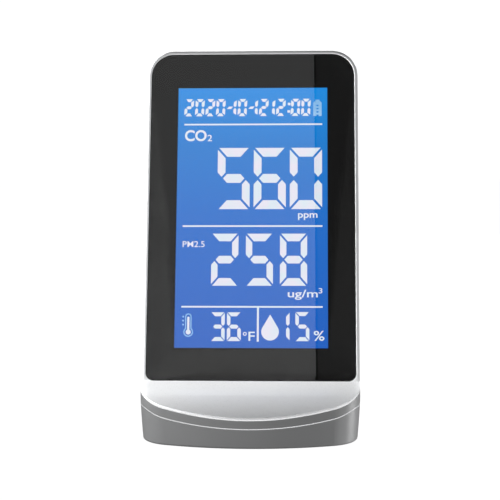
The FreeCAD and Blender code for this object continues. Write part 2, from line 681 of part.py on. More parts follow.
def make_display():
    opening = (OPENING_HALF, OPENING_LOW, OPENING_HIGH)
    parts["lcd_gasket"] = on_panel(frame_plate(GASKET_OUTLINE, opening, GASKET_W, GASKET_THICK))
    front_glass = (GLASS_HALF, GLASS_LOW + LEDGE_HEIGHT, GLASS_HIGH)
    rear_glass = (GLASS_HALF, GLASS_LOW, GLASS_HIGH)
    layers = {"lcd_front_glass": (front_glass, FRONT_GLASS_W, GLASS_THICK),
              "lcd_rear_glass": (rear_glass, REAR_GLASS_W, GLASS_THICK),
              "backlight_diffuser": (BACKLIGHT_OUTLINE, DIFFUSER_W, DIFFUSER_THICK),
              "lcd_light_guide": (BACKLIGHT_OUTLINE, GUIDE_W, GUIDE_THICK),
              "lcd_reflector": (BACKLIGHT_OUTLINE, REFLECTOR_W, REFLECTOR_THICK)}
    for name, (outline, w_front, thickness) in layers.items():
        parts[name] = on_panel(plate(outline, w_front, thickness))
    parts["backlight_led_strip"] = on_panel(make_led_strip())
    parts["lcd_holder"] = on_panel(make_display_holder())
    parts["lcd_ribbon"] = on_panel(make_ribbon())


def make_led_strip():
    """Flexible strip that stands below the light guide, with its LEDs facing up into the guide."""
    low, high = LED_STRIP_V
    strip = box((-LED_STRIP_HALF, low, HOLDER_FLOOR_W + 0.2), (LED_STRIP_HALF, high, GUIDE_W))
    for index in range(LED_COUNT):
        x = (index - (LED_COUNT - 1) / 2) * LED_PITCH
        led_low = (x - LED_HALF, LED_V[0], HOLDER_FLOOR_W + 0.8)
        strip = strip.fuse(box(led_low, (x + LED_HALF, LED_V[1], GUIDE_W - 0.6)))
    return strip


def make_display_holder():
    """Tray that holds the glass and the backlight, with a slot for the ribbon in its lower wall."""
    half, low, high = HOLDER_OUTLINE
    outer_low = (-half, low, HOLDER_FLOOR_W - HOLDER_FLOOR)
    holder = rounded_box(outer_low, (half, high, FRONT_GLASS_W), HOLDER_CORNER_R)
    holder = holder.cut(plate(HOLDER_HOLLOW, 0, -HOLDER_FLOOR_W))
    slot_half, slot_w = RIBBON_HALF + RIBBON_PLAY, REAR_GLASS_W + RIBBON_THICK / 2
    slot_low = (-slot_half, low - 1, slot_w - RIBBON_THICK)
    return holder.cut(box(slot_low, (slot_half, HOLDER_HOLLOW[1] + 1, slot_w + RIBBON_THICK)))


def round_foot(block, radius):
    """Round the two level edges at the lower end of a block that stands on the display's plane."""
    middle = block.CenterOfMass.y
    level = [edge for edge in block.Edges if abs(edge.tangentAt(0).x) > 0.9 and edge.CenterOfMass.y < middle]
    return block.makeFillet(radius, level)


def make_ribbon():
    """Flat ribbon from the contact ledge of the rear glass, round the holder's foot, to the main board."""
    bend = box((-RIBBON_HALF, RIBBON_FOOT, BOARD_BACK_W - RIBBON_THICK),
               (RIBBON_HALF, RIBBON_BACK_END, REAR_GLASS_W + RIBBON_THICK))
    inside = box((-RIBBON_HALF - 1, RIBBON_FOOT + RIBBON_THICK, BOARD_BACK_W),
                 (RIBBON_HALF + 1, 2 * RIBBON_BACK_END, REAR_GLASS_W))
    ribbon = round_foot(bend, RIBBON_BEND_R).cut(round_foot(inside, RIBBON_BEND_R - RIBBON_THICK))
    return ribbon.cut(box((-FAR, RIBBON_FRONT_END, REAR_GLASS_W - 1), (FAR, FAR, 0)))


# ---- main board, sensors and sounder ---------------------------------------------------------
def on_board(low, high, height):
    """Block that stands on the rear of the main board."""
    return box((low[0], low[1], BOARD_BACK_W - height), (high[0], high[1], BOARD_BACK_W))


def make_main_board():
    board_low = (-BOARD_HALF, BOARD_LOW, BOARD_BACK_W)
    board = rounded_box(board_low, (BOARD_HALF, BOARD_HIGH, BOARD_W), BOARD_CORNER_R)
    for x, v in BOARD_POSTS:
        board = board.cut(rod(SCREW_HOLE_R, (x, v, 0), (x, v, -FAR)))
    parts["main_board"] = on_panel(board)
    chips = [((6, 80), (24, 94), 1.3), ((-28, 84), (-18, 94), 1.5), ((-12, 83), (-6, 89), 1.0),
             ((-14, 92), (-2, 97), 1.2), ((25.5, 54), (31, 60), 1.6)]
    parts["board_chips"] = [on_panel(on_board(*chip)) for chip in chips]
    cans = []
    for v in (64, 72):
        can = rod(2.5, (27, v, BOARD_BACK_W), (27, v, BOARD_BACK_W - 5.6))
        cans.append(on_panel(round_end(can, (27, v, BOARD_BACK_W - 5.6), 0.4)))
    parts["board_capacitors"] = cans
    buzzer = rod(4.5, (14, 66, BOARD_BACK_W), (14, 66, BOARD_BACK_W - 4.5))
    parts["buzzer"] = on_panel(buzzer.cut(rod(0.9, (14, 66, BOARD_BACK_W - 4.0), (14, 66, BOARD_BACK_W - 6))))


def make_gas_sensor():
    parts["co2_sensor_board"] = on_panel(on_board((-34, 56), (-1, 76), 1.0))
    chamber_w = BOARD_BACK_W - 1.0
    chamber = rounded_box((-32, 58, chamber_w - 6.4), (-3, 74, chamber_w), 2.0)
    parts["co2_optical_chamber"] = on_panel(chamber)
    membrane = rounded_box((-27, 61.5, chamber_w - 6.7), (-8, 70.5, chamber_w - 6.4), 1.0)
    parts["co2_membrane"] = on_panel(membrane)


def fan_rod(radius, w_low, w_high):
    """Round bar on the fan's axis."""
    return rod(radius, (FAN_X, FAN_V, w_low), (FAN_X, FAN_V, w_high))


def make_fan_rotor():
    rotor = fan_rod(FAN_HUB_R, FAN_TOP_W, FAN_BASE_W)
    disc_w = FAN_BASE_W - 0.2
    rotor = rotor.fuse(fan_rod(FAN_R, disc_w - FAN_DISC_THICK, disc_w))
    root = FAN_HUB_R - 0.4
    half = FAN_BLADE_THICK / 2
    for index in range(FAN_BLADES):
        blade = box((root, -half, FAN_TOP_W + 0.2), (FAN_R - 0.2, half, disc_w - 0.2))
        blade.rotate(Vector(root, 0, 0), Vector(0, 0, 1), FAN_BLADE_TILT)
        blade.rotate(Vector(0, 0, 0), Vector(0, 0, 1), 360.0 * index / FAN_BLADES)
        blade.translate(Vector(FAN_X, FAN_V, 0))
        rotor = rotor.fuse(blade)
    return rotor.cut(fan_rod(FAN_PIN_R + FAN_CLEARANCE, FAN_TOP_W - 1, FAN_BASE_W + 1))


def make_sensor_case(lid_w):
    """Open tray of the dust sensor, standing on the main board."""
    (left, low), (right, high) = CASE_LOW, CASE_HIGH
    case = rounded_box((left, low, lid_w), (right, high, BOARD_BACK_W), CASE_CORNER_R)
    hollow_low = (left + CASE_WALL, low + CASE_WALL, lid_w - 1)
    return case.cut(box(hollow_low, (right - CASE_WALL, high - CASE_WALL, BOARD_BACK_W - CASE_WALL)))


def make_sensor_lid(lid_w):
    """Lid with the fan's round outlet and a square inlet."""
    (left, low), (right, high) = CASE_LOW, CASE_HIGH
    lid = rounded_box((left, low, lid_w - LID_THICK), (right, high, lid_w), CASE_CORNER_R)
    lid = lid.cut(fan_rod(FAN_R - LID_THICK, lid_w - 2 * LID_THICK, lid_w + 1))
    return lid.cut(box((-20, 38, lid_w - 2 * LID_THICK), (-8, 44, lid_w + 1)))


def make_laser_module(floor_w):
    """Square laser block with its round barrel, on the sensor's own board."""
    block = box((-19, 16, floor_w - 5.0), (-9, 22, floor_w))
    barrel_w = floor_w - 2.6
    return block.fuse(rod(LASER_R, (-9.5, 19, barrel_w), (-3, 19, barrel_w)))


def make_particle_sensor():
    lid_w = BOARD_BACK_W - CASE_DEPTH
    board_w = BOARD_BACK_W - CASE_WALL
    floor_w = board_w - SENSOR_BOARD_THICK
    board_gap = CASE_WALL + 0.2
    (left, low), (right, high) = CASE_LOW, CASE_HIGH
    parts["pm_sensor_case"] = on_panel(make_sensor_case(lid_w))
    parts["pm_sensor_lid"] = on_panel(make_sensor_lid(lid_w))
    board = box((left + board_gap, low + board_gap, floor_w), (right - board_gap, high - board_gap, board_w))
    parts["pm_sensor_board"] = on_panel(board)
    parts["pm_laser_module"] = on_panel(make_laser_module(floor_w))
    bearing = fan_rod(FAN_BEARING_R, floor_w - 0.8, floor_w)
    parts["pm_fan_bearing"] = on_panel(bearing.fuse(fan_rod(FAN_PIN_R, FAN_PIN_TOP_W, floor_w - 0.5)))
    parts["pm_fan_rotor"] = on_panel(make_fan_rotor())
    foam_w = lid_w - LID_THICK
    foam = rounded_box((FAN_X - FOAM_HALF, FAN_V - FOAM_HALF, foam_w - FOAM_THICK),
                       (FAN_X + FOAM_HALF, FAN_V + FOAM_HALF, foam_w), CASE_CORNER_R)
    parts["pm_inlet_foam"] = on_panel(foam.cut(fan_rod(FAN_R - CASE_WALL, foam_w - 1, foam_w + 1)))


def make_climate_sensor():
    board = rounded_box((-34, 34, -WALL - 1.0), (-25, 46, -WALL), 0.8)
    parts["climate_board"] = on_back(board)
    parts["climate_sensor"] = on_back(box((-31, 38.5, -WALL - 1.9), (-28, 41.5, -WALL - 1.0)))


# ---- buttons ---------------------------------------------------------------------------------
def make_button(x):
    """Key cap with its retaining collar and the stem that presses the switch."""
    inside = -WALL - BUTTON_RIM_DROP
    cap = rod(BUTTON_R, (x, BUTTON_UP, inside - 0.2), (x, BUTTON_UP, BUTTON_PROUD))
    cap = round_end(cap, (x, BUTTON_UP, BUTTON_PROUD), BUTTON_EDGE_R)
    collar_low = (x, BUTTON_UP, inside - BUTTON_RIM_THICK)
    cap = cap.fuse(rod(BUTTON_R + BUTTON_RIM, collar_low, (x, BUTTON_UP, inside)))
    stem_low = (x, BUTTON_UP, SWITCH_W + PLUNGER_PROUD)
    return cap.fuse(rod(BUTTON_STEM_R, stem_low, (x, BUTTON_UP, inside - 0.7))).removeSplitter()


def make_buttons():
    switch_low = SWITCH_W - SWITCH_HEIGHT
    board_low = (-BUTTON_BOARD_HALF, BUTTON_UP - SWITCH_SIZE, switch_low - BUTTON_BOARD_THICK)
    board = rounded_box(board_low, (BUTTON_BOARD_HALF, BUTTON_UP + SWITCH_SIZE, switch_low), 1.0)
    for x in (-BUTTON_POST_X, BUTTON_POST_X):
        board = board.cut(rod(SCREW_HOLE_R, (x, BUTTON_UP, 0), (x, BUTTON_UP, -FAR)))
    parts["button_board"] = on_back(board)
    housings = []
    half = SWITCH_SIZE / 2
    for name, side in BUTTONS.items():
        x = -side
        housing = box((x - half, BUTTON_UP - half, switch_low), (x + half, BUTTON_UP + half, SWITCH_W))
        well_floor = (x, BUTTON_UP, SWITCH_W - PLUNGER_DEPTH - PLUNGER_PROUD)
        housing = housing.cut(rod(PLUNGER_R + PLUNGER_PLAY, well_floor, (x, BUTTON_UP, SWITCH_W + 1)))
        housings.append(on_back(housing))
        plunger_low = (x, BUTTON_UP, SWITCH_W - PLUNGER_DEPTH)
        plunger = rod(PLUNGER_R, plunger_low, (x, BUTTON_UP, SWITCH_W + PLUNGER_PROUD))
        parts[name + "_switch_plunger"] = on_back(plunger)
        parts[name + "_button"] = on_back(make_button(x))
    parts["switch_housings"] = housings


# ---- power -----------------------------------------------------------------------------------
def tube(points, radius):
    """Wire or cable along straight runs that are joined by arcs as large as the runs allow."""
    points = [Vector(*point) for point in points]
    runs = [(second - first).Length for first, second in zip(points, points[1:])]
    edges, start = [], points[0]
    for index in range(1, len(points) - 1):
        corner = points[index]
        back = (points[index - 1] - corner).normalize()
        ahead = (points[index + 1] - corner).normalize()
        half = back.getAngle(ahead) / 2
        reach = 0.45 * min(runs[index - 1], runs[index])
        bend_r = reach * math.tan(half)
        bisector = (back + ahead).normalize()
        centre = corner + bisector * (bend_r / math.sin(half))
        edges += [line(start, corner + back * reach),
                  arc(corner + back * reach, centre - bisector * bend_r, corner + ahead * reach)]
        start = corner + ahead * reach
    edges.append(line(start, points[-1]))
    path = Part.Wire(edges)
    section = Part.Wire(Part.makeCircle(radius, points[0], points[1] - points[0]))
    return path.makePipeShell([section], True, True)


def make_battery():
    cell = rod(BATTERY_R, (-BATTERY_HALF, BATTERY_Y, BATTERY_Z), (BATTERY_HALF, BATTERY_Y, BATTERY_Z))
    ends = [edge for edge in cell.Edges if len(edge.Vertexes) == 1]
    parts["battery_cell"] = cell.makeFillet(BATTERY_EDGE_R, ends)
    cradle = box((-CRADLE_HALF, BATTERY_Y - CRADLE_HALF_DEPTH, FLOOR_TOP),
                 (CRADLE_HALF, BATTERY_Y + CRADLE_HALF_DEPTH, BATTERY_Z))
    trough_end = BATTERY_HALF + CRADLE_END_GAP
    trough_ends = [(side * trough_end, BATTERY_Y, BATTERY_Z) for side in (-1, 1)]
    parts["battery_cradle"] = cradle.cut(rod(BATTERY_R + CRADLE_PLAY, *trough_ends))
    tabs = []
    for side in (-1, 1):
        left, right = sorted((side * BATTERY_HALF, side * (BATTERY_HALF + TAB_THICK)))
        tab_high = (right, BATTERY_Y + TAB_HALF, TAB_HIGH_Z)
        tabs.append(box((left, BATTERY_Y - TAB_HALF, TAB_LOW_Z), tab_high))
    parts["battery_tabs"] = tabs
    route = [(33.5, 2.5, 15.2), (33.5, 12.5, 15.2), (33.8, 18.8, 13.0), (31.0, 21.0, 8.2), (22.0, 19.4, 5.62),
             (13.2, 19.6, 5.62)]
    for name, side in (("battery_lead_red", 1), ("battery_lead_black", -1)):
        parts[name] = tube([(side * x, y, z) for x, y, z in route], LEAD_R)


def make_power_inlet():
    board_top = POWER_BOARD_Z + POWER_BOARD_THICK
    board_low = (-POWER_BOARD_HALF, POWER_BOARD_Y[0], POWER_BOARD_Z)
    board = box(board_low, (POWER_BOARD_HALF, POWER_BOARD_Y[1], board_top))
    for x in (-POWER_POST_X, POWER_POST_X):
        board = board.cut(rod(SCREW_HOLE_R, (x, POWER_POST_Y, 0), (x, POWER_POST_Y, FAR)))
    parts["power_board"] = board
    socket = stadium(USB_HALF, USB_HALF_HEIGHT, USB_BACK_Y, USB_MOUTH_Y, USB_Z)
    mouth_half, mouth_half_height = USB_HALF - USB_SHEET, USB_HALF_HEIGHT - USB_SHEET
    floor_y = USB_BACK_Y + 0.8
    parts["usb_socket"] = socket.cut(stadium(mouth_half, mouth_half_height, floor_y, USB_MOUTH_Y + 1, USB_Z))
    half = USB_TONGUE_THICK / 2
    tongue_low = (-USB_TONGUE_HALF, floor_y, USB_Z - half)
    parts["usb_tongue"] = box(tongue_low, (USB_TONGUE_HALF, USB_MOUTH_Y - USB_TONGUE_THICK, USB_Z + half))
    board_end = panel_point(13.0, BOARD_BACK_W)
    near_board = panel_point(13.0, BOARD_BACK_W - 6.5)
    route = [(-11.5, 27.5, 5.8), (-13.0, 22.5, 7.6), (-20.0, 19.0, 12.5), (-28.0, 14.8, 20.5)]
    route += [(-29.5, point.y, point.z) for point in (near_board, board_end)]
    parts["power_cable"] = tube(route, CABLE_R)
    case_w = BOARD_BACK_W - 5.2
    cable = tube([(CASE_HIGH[0], 40, case_w), (30, 40, case_w), (30, 40, BOARD_BACK_W)], SENSOR_CABLE_R)
    parts["sensor_cable"] = on_panel(cable)


# ---- rear trim, feet and fasteners -----------------------------------------------------------
def make_trim():
    meshes = []
    for first, rows in ((VENT_LOW, VENT_ROWS), (UPPER_VENT_LOW, UPPER_VENT_ROWS)):
        high = first + VENT_PITCH * (rows - 1) + VENT_SLOT + MESH_MARGIN
        mesh_low = (-MESH_HALF, first - MESH_MARGIN, -WALL - MESH_THICK)
        meshes.append(on_back(box(mesh_low, (MESH_HALF, high, -WALL))))
    parts["vent_mesh"] = meshes
    for place, (x, y) in FOOT_XY.items():
        foot = rod(FOOT_R, (x, y, 0), (x, y, UNDERSIDE_Z + FOOT_RECESS))
        parts["rubber_foot_" + place] = round_end(foot, (x, y, 0), FOOT_EDGE_R)
    parts["base_screws"] = base_screws()
    parts["shell_screws"] = shell_screws()
    parts["board_screws"] = board_screws()


def export_parts():
    os.makedirs("parts", exist_ok=True)
    for name, shape in parts.items():
        solids = shape if isinstance(shape, list) else [shape]
        solids = [solid for piece in solids for solid in piece.Solids]
        node = solids[0] if len(solids) == 1 else Part.makeCompound(solids)
        node.exportStep("parts/" + name + ".step")
        valid = all(solid.isValid() for solid in solids)
        print(name, len(solids), round(node.Volume, 1), "valid" if valid else "INVALID")


make_shells()
make_window()
make_display()
make_main_board()
make_gas_sensor()
make_particle_sensor()
make_climate_sensor()
make_buttons()
make_battery()
make_power_inlet()
make_trim()
export_parts()
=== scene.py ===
import json
import math

import bpy
from mathutils import Matrix, Vector


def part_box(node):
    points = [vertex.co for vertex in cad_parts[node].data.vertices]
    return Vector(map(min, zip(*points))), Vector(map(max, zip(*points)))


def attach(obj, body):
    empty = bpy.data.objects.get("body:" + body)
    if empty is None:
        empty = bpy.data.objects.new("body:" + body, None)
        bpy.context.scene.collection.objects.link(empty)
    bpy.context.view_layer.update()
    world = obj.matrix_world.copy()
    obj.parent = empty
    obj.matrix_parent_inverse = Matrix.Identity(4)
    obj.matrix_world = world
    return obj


# Air quality monitor: looks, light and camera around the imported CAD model.
# Metres, in the same frame as the CAD: +Z up, front towards -Y.

MM = 0.001
LEAN = math.radians(15.0)           # the display face leans back
MASK_FRONT = 1.5                    # front of the black print, behind the display face
MASK_DEPTH = 1.6                    # rear of the black print, behind the display face
LCD_DEPTH = 3.9                     # front of the display glass, behind the display face
INK = 0.04                          # thickness of a lit segment
INK_LIFT = 0.01                     # gap between the glass and a lit segment

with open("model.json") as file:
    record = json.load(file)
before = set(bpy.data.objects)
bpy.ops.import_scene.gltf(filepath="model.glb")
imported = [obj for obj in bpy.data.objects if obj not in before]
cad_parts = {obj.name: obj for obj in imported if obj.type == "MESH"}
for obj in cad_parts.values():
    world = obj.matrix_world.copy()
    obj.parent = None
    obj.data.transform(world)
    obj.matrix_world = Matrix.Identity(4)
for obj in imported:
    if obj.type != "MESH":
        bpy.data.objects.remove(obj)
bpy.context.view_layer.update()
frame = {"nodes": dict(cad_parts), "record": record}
nodes = frame["nodes"]
record = frame["record"]
slot_of = {part["node"]: part["material_slot"] for part in record["subparts"]}


# ---- the display's own frame: x to the right, v up the face, w out of it, in millimetres ----
def face_foot():
    """Bottom middle of the display face, worked out from the printed mask behind it."""
    low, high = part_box("window_mask")
    y = low.y - MASK_FRONT * MM * math.cos(LEAN)
    z = low.z + MASK_DEPTH * MM * math.sin(LEAN)
    return Vector(((low.x + high.x) / 2, y, z))


FOOT = face_foot()
UP_FACE = Vector((0, math.sin(LEAN), math.cos(LEAN)))
OUT_OF_FACE = Vector((0, -math.cos(LEAN), math.sin(LEAN)))


def on_face(x, v, w):
    return FOOT + Vector((x * MM, 0, 0)) + UP_FACE * (v * MM) + OUT_OF_FACE * (w * MM)


# ---- materials ---------------------------------------------------------------------------------
def new_material(name):
    """Material, with its node tree and its shader."""
    material = bpy.data.materials.new(name)
    material.use_nodes = True
    tree = material.node_tree
    shader = tree.nodes["Principled BSDF"]
    return material, tree, shader


def coordinates(tree, scale):
    """Position on the object in metres, stretched by scale."""
    place = tree.nodes.new("ShaderNodeTexCoord")
    mapping = tree.nodes.new("ShaderNodeMapping")
    mapping.inputs["Scale"].default_value = scale
    tree.links.new(place.outputs["Object"], mapping.inputs["Vector"])
    return mapping.outputs["Vector"]


def noise(tree, vector, scale, detail=3.0):
    """Noise of the given fineness, from 0 to 1."""
    texture = tree.nodes.new("ShaderNodeTexNoise")
    texture.inputs["Scale"].default_value = scale
    texture.inputs["Detail"].default_value = detail
    tree.links.new(vector, texture.inputs["Vector"])
    return texture.outputs["Fac"]


def ramp(tree, factor, stops):
    """Colour ramp between (position, colour) stops."""
    node = tree.nodes.new("ShaderNodeValToRGB")
    elements = node.color_ramp.elements
    while len(elements) < len(stops):
        elements.new(0.5)
    for element, (position, color) in zip(elements, stops):
        element.position = position
        element.color = (*color, 1.0)
    tree.links.new(factor, node.inputs["Fac"])
    return node.outputs["Color"]


def spread(tree, factor, low, high):
    """Number that runs from low to high as the factor runs from 0.3 to 0.7."""
    node = tree.nodes.new("ShaderNodeMapRange")
    node.inputs["From Min"].default_value = 0.3
    node.inputs["From Max"].default_value = 0.7
    node.inputs["To Min"].default_value = low
    node.inputs["To Max"].default_value = high
    tree.links.new(factor, node.inputs["Value"])
    return node.outputs["Result"]


def add_bump(tree, shader, height, depth, strength):
    """Relief on the surface, depth in metres."""
    bump = tree.nodes.new("ShaderNodeBump")
    bump.inputs["Strength"].default_value = strength
    bump.inputs["Distance"].default_value = depth
    tree.links.new(height, bump.inputs["Height"])
    tree.links.new(bump.outputs["Normal"], shader.inputs["Normal"])


def tint(color, factor):
    """Colour made lighter or darker by a factor."""
    return tuple(min(1.0, channel * factor) for channel in color)


def moulded_plastic(name, color, roughness, grain=2600.0, grain_depth=0.00001, mottle=0.03, coat=0.0):
    """Moulded plastic with a fine spark-eroded grain and slow, faint changes of colour and gloss."""
    material, tree, shader = new_material(name)
    place = coordinates(tree, (1, 1, 1))
    slow = noise(tree, place, 60.0)
    fine = noise(tree, place, grain, 2.0)
    shade = ramp(tree, slow, [(0.3, tint(color, 1 - mottle)), (0.7, tint(color, 1 + mottle))])
    tree.links.new(shade, shader.inputs["Base Color"])
    tree.links.new(spread(tree, fine, roughness - 0.04, roughness + 0.04), shader.inputs["Roughness"])
    shader.inputs["Coat Weight"].default_value = coat
    shader.inputs["Coat Roughness"].default_value = 0.12
    add_bump(tree, shader, fine, grain_depth, 0.25)
    return material


def metal(name, color, roughness, streak):
    """Metal with fine machining or rolling marks along one axis."""
    material, tree, shader = new_material(name)
    marks = noise(tree, coordinates(tree, streak), 900.0, 4.0)
    shade = ramp(tree, marks, [(0.3, tint(color, 0.88)), (0.7, tint(color, 1.08))])
    tree.links.new(shade, shader.inputs["Base Color"])
    tree.links.new(spread(tree, marks, roughness - 0.06, roughness + 0.08), shader.inputs["Roughness"])
    shader.inputs["Metallic"].default_value = 1.0
    add_bump(tree, shader, marks, 0.000008, 0.3)
    return material


def rubber(name, color):
    """Matt rubber or foam, grainy and slightly uneven in colour."""
    material, tree, shader = new_material(name)
    place = coordinates(tree, (1, 1, 1))
    grain = noise(tree, place, 1500.0, 5.0)
    shade = ramp(tree, noise(tree, place, 90.0), [(0.3, tint(color, 0.8)), (0.7, tint(color, 1.25))])
    tree.links.new(shade, shader.inputs["Base Color"])
    tree.links.new(spread(tree, grain, 0.75, 0.92), shader.inputs["Roughness"])
    add_bump(tree, shader, grain, 0.00003, 0.5)
    return material


def woven(name, color):
    """Fine plain weave, such as a dust mesh or a membrane, with painted shade between the threads."""
    material, tree, shader = new_material(name)
    threads = []
    for axis in ("X", "Z"):
        wave = tree.nodes.new("ShaderNodeTexWave")
        wave.bands_direction = axis
        wave.inputs["Scale"].default_value = 700.0
        tree.links.new(coordinates(tree, (1, 1, 1)), wave.inputs["Vector"])
        threads.append(wave.outputs["Fac"])
    weave = tree.nodes.new("ShaderNodeMath")
    weave.operation = "MAXIMUM"
    tree.links.new(threads[0], weave.inputs[0])
    tree.links.new(threads[1], weave.inputs[1])
    height = weave.outputs["Value"]
    # Painted shade: the colour darkens in the hollows between the threads and lightens on their tops.
    shade = ramp(tree, height, [(0.2, tint(color, 0.35)), (0.9, tint(color, 1.3))])
    tree.links.new(shade, shader.inputs["Base Color"])
    shader.inputs["Roughness"].default_value = 0.8
    add_bump(tree, shader, height, 0.00006, 0.8)
    return material


def circuit_board(name, color):
    """Solder mask over copper tracks that show as slightly lighter lines."""
    material, tree, shader = new_material(name)
    brick = tree.nodes.new("ShaderNodeTexBrick")
    brick.inputs["Scale"].default_value = 140.0
    brick.inputs["Mortar Size"].default_value = 0.03
    brick.inputs["Color1"].default_value = (*color, 1.0)
    brick.inputs["Color2"].default_value = (*tint(color, 0.9), 1.0)
    brick.inputs["Mortar"].default_value = (*tint(color, 1.6), 1.0)
    place = coordinates(tree, (1, 1, 1))
    tree.links.new(place, brick.inputs["Vector"])
    tree.links.new(brick.outputs["Color"], shader.inputs["Base Color"])
    shader.inputs["Roughness"].default_value = 0.35
    add_bump(tree, shader, noise(tree, place, 1200.0), 0.00001, 0.3)
    return material


def clear_lens(name):
    """Clear acrylic with the faintest waviness."""
    material, tree, shader = new_material(name)
    shader.inputs["Base Color"].default_value = (1.0, 1.0, 1.0, 1.0)
    shader.inputs["Transmission Weight"].default_value = 1.0
    shader.inputs["IOR"].default_value = 1.49
    wave = noise(tree, coordinates(tree, (1, 1, 1)), 14.0, 1.0)
    tree.links.new(spread(tree, wave, 0.0, 0.012), shader.inputs["Roughness"])
    return material


def gloss_print(name):
    """Black print on the back of the lens."""
    material, tree, shader = new_material(name)
    speck = noise(tree, coordinates(tree, (1, 1, 1)), 900.0)
    shade = ramp(tree, speck, [(0.3, (0.003, 0.003, 0.003)), (0.7, (0.005, 0.005, 0.005))])
    tree.links.new(shade, shader.inputs["Base Color"])
    shader.inputs["Roughness"].default_value = 0.6
    shader.inputs["Specular IOR Level"].default_value = 0.1
    return material


def height_factor(tree):
    """0 at the foot of the display face, 1 at its top."""
    low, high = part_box("lcd_front_glass")
    place = tree.nodes.new("ShaderNodeTexCoord")
    split = tree.nodes.new("ShaderNodeSeparateXYZ")
    tree.links.new(place.outputs["Object"], split.inputs["Vector"])
    node = tree.nodes.new("ShaderNodeMapRange")
    node.inputs["From Min"].default_value = low.z
    node.inputs["From Max"].default_value = high.z
    tree.links.new(split.outputs["Z"], node.inputs["Value"])
    return node.outputs["Result"]


def backlit_glass(name):
    """Blue backlit ground of the display, brighter and greener towards the top."""
    material, tree, shader = new_material(name)
    glow = ramp(tree, height_factor(tree), [(0.05, (0.006, 0.112, 0.54)), (0.45, (0.005, 0.145, 0.59)),
                                            (0.75, (0.003, 0.195, 0.63)), (0.95, (0.002, 0.255, 0.75))])
    shader.inputs["Base Color"].default_value = (0.002, 0.004, 0.01, 1.0)
    shader.inputs["Roughness"].default_value = 0.5
    shader.inputs["Specular IOR Level"].default_value = 0.1
    shader.inputs["Emission Strength"].default_value = 1.0
    tree.links.new(glow, shader.inputs["Emission Color"])
    return material


def lit_ink(name, dim, bright):
    """Lit segment: near white, with the faint stains of a display's colour film."""
    material, tree, shader = new_material(name)
    stain = noise(tree, coordinates(tree, (1, 1, 1)), 190.0, 1.0)
    glow = ramp(tree, stain, [(0.35, dim), (0.65, bright)])
    shader.inputs["Base Color"].default_value = (0.02, 0.02, 0.02, 1.0)
    shader.inputs["Specular IOR Level"].default_value = 0.1
    shader.inputs["Emission Strength"].default_value = 1.0
    tree.links.new(glow, shader.inputs["Emission Color"])
    return material


WHITE_SHELL = (0.86, 0.87, 0.88)
GREY_SHELL = (0.56, 0.565, 0.57)
MATERIALS = {
    "front_white": moulded_plastic("front_white_plastic", WHITE_SHELL, 0.30, mottle=0.01),
    "rear_grey": moulded_plastic("rear_grey_plastic", GREY_SHELL, 0.40, mottle=0.02),
    "base_grey": moulded_plastic("base_grey_plastic", GREY_SHELL, 0.38, mottle=0.02),
    "window_lens": clear_lens("clear_lens"),
    "window_print": gloss_print("black_print"),
    "black_tape": moulded_plastic("black_tape", (0.02, 0.02, 0.02), 0.7),
    "foam_gasket": rubber("foam_gasket", (0.03, 0.03, 0.03)),
    "lcd_glass": backlit_glass("backlit_display"),
    "diffuser_white": moulded_plastic("diffuser_film", (0.9, 0.92, 0.93), 0.6),
    "light_guide": moulded_plastic("light_guide", (0.78, 0.85, 0.92), 0.1, coat=1.0),
    "led_strip": moulded_plastic("led_strip", (0.85, 0.83, 0.6), 0.5),
    "black_plastic": moulded_plastic("black_plastic", (0.025, 0.025, 0.028), 0.5),
    "orange_flex": moulded_plastic("polyimide_ribbon", (0.62, 0.24, 0.03), 0.3, coat=0.5),
    "green_board": circuit_board("green_board", (0.015, 0.12, 0.05)),
    "blue_board": circuit_board("blue_board", (0.015, 0.05, 0.22)),
    "gold_plate": metal("gold_plate", (0.83, 0.62, 0.28), 0.25, (1, 1, 6)),
    "white_membrane": woven("white_membrane", (0.85, 0.85, 0.83)),
    "can_aluminium": metal("can_aluminium", (0.76, 0.77, 0.78), 0.3, (1, 1, 8)),
    "laser_brass": metal("laser_brass", (0.72, 0.53, 0.22), 0.3, (6, 1, 1)),
    "steel": metal("plated_steel", (0.60, 0.60, 0.61), 0.28, (1, 1, 6)),
    "button_grey": moulded_plastic("key_grey", (0.30, 0.305, 0.31), 0.42),
    "plunger_plastic": moulded_plastic("switch_plunger", (0.72, 0.68, 0.56), 0.5),
    "battery_sleeve": moulded_plastic("battery_sleeve", (0.02, 0.12, 0.40), 0.25, coat=0.6),
    "cradle_plastic": moulded_plastic("cradle_plastic", (0.06, 0.06, 0.065), 0.55),
    "red_wire": moulded_plastic("red_wire", (0.5, 0.015, 0.015), 0.35),
    "black_wire": moulded_plastic("black_wire", (0.02, 0.02, 0.02), 0.35),
    "vent_fabric": woven("vent_mesh_fabric", (0.03, 0.03, 0.032)),
    "foot_rubber": rubber("foot_rubber", (0.03, 0.03, 0.03)),
}


def dress_cad_nodes():
    """Give every CAD node the material of its slot."""
    for name, node in nodes.items():
        material = MATERIALS[slot_of[name]]
        node.data.materials.clear()
        node.data.materials.append(material)


# ---- flat artwork on the display glass ------------------------------------------------------------
def inset(points, distance):
    """Convex polygon moved inwards along every side."""
    count = len(points)
    center = sum((Vector(point) for point in points), Vector((0, 0))) / count
    moved = []
    for index in range(count):
        start, end = Vector(points[index]), Vector(points[(index + 1) % count])
        along = (end - start).normalized()
        inwards = Vector((-along.y, along.x))
        if inwards.dot(center - start) < 0:
            inwards = -inwards
        moved.append((start + inwards * distance, along))
    corners = []
    for index in range(count):
        point_a, along_a = moved[index - 1]
        point_b, along_b = moved[index]
        gap = point_b - point_a
        cross = along_a.x * along_b.y - along_a.y * along_b.x
        step = (gap.x * along_b.y - gap.y * along_b.x) / cross
        corners.append(point_a + along_a * step)
    return corners


CORNER_SHARE = 0.45                 # most of a side that one rounded corner may take


